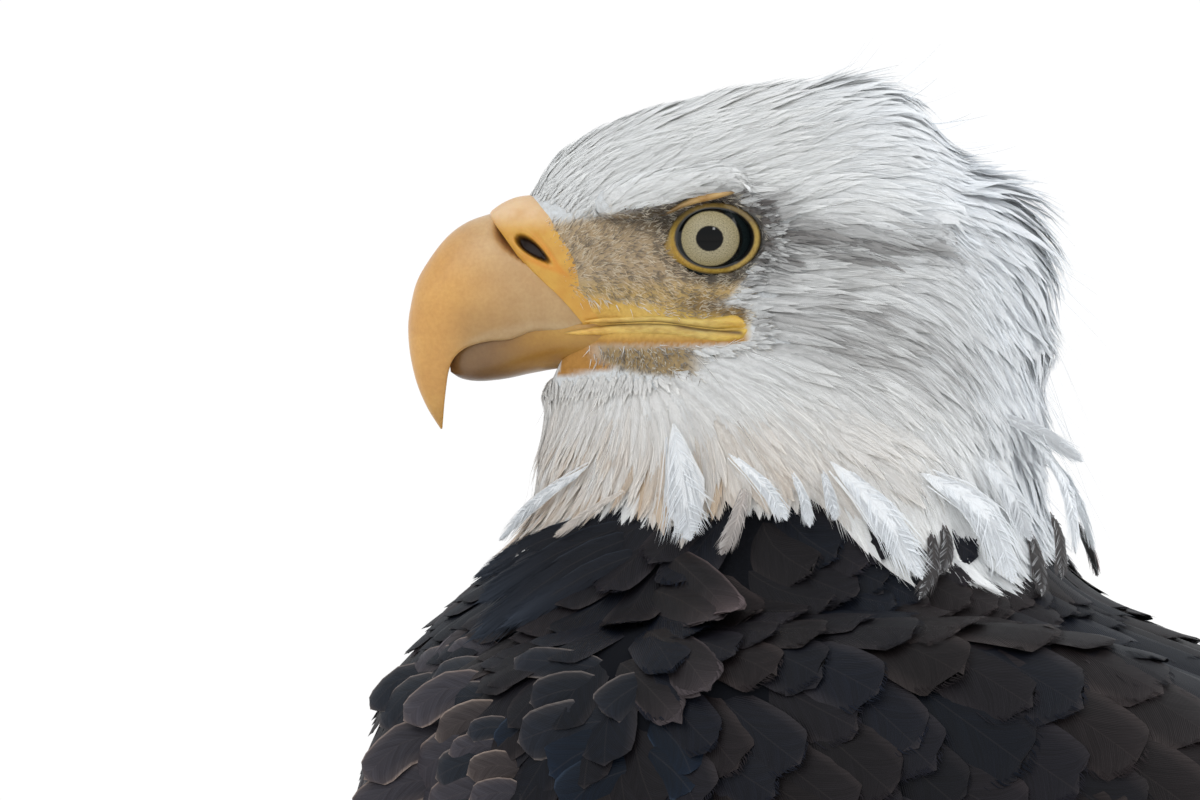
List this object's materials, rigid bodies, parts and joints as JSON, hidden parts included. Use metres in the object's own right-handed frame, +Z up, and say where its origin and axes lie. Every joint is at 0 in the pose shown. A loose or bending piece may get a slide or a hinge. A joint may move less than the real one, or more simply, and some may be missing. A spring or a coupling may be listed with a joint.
{
  "type": "bald eagle, life-size still model",
  "caption": "Adult sea eagle with a white head and tail, standing on both feet with its wings folded and its head turned slightly left.",
  "frame": {"origin": "on the floor, under the middle of the whole bird's length and width", "axes": "+Z up; the bird faces -X and its left side is towards -Y"},
  "size_m": [0.6012, 0.2188, 0.4955],
  "materials": {
    "head_feathers": "soft white lance-shaped feathers, faintly buff on the throat",
    "tail_feathers": "white flight feathers with a satin sheen",
    "body_feathers": "blackish-brown feathers with paler brown edges",
    "wing_feathers": "blackish-brown feathers with paler brown edges and a faint blue sheen",
    "horn": "smooth yellow-orange bill horn, satin",
    "cere": "soft yellow skin at the base of the bill",
    "eye": "wet cornea over a pale cream iris",
    "foot_skin": "yellow scaled skin",
    "claw": "polished black horn"
  },
  "bodies": {
    "root": {"bill_lower": "horn", "bill_upper": "horn", "cere": "cere", "claw_left_hallux": "claw", "claw_left_inner": "claw", "claw_left_middle": "claw", "claw_left_outer": "claw", "claw_right_hallux": "claw", "claw_right_inner": "claw", "claw_right_middle": "claw", "claw_right_outer": "claw", "eye_left": "eye", "eye_right": "eye", "foot_left": "foot_skin", "foot_right": "foot_skin", "head": "head_feathers", "neck": "head_feathers", "tail": "tail_feathers", "thigh_left": "body_feathers", "thigh_right": "body_feathers", "torso": "body_feathers", "wing_left": "wing_feathers", "wing_right": "wing_feathers"}
  },
  "joints": []
}
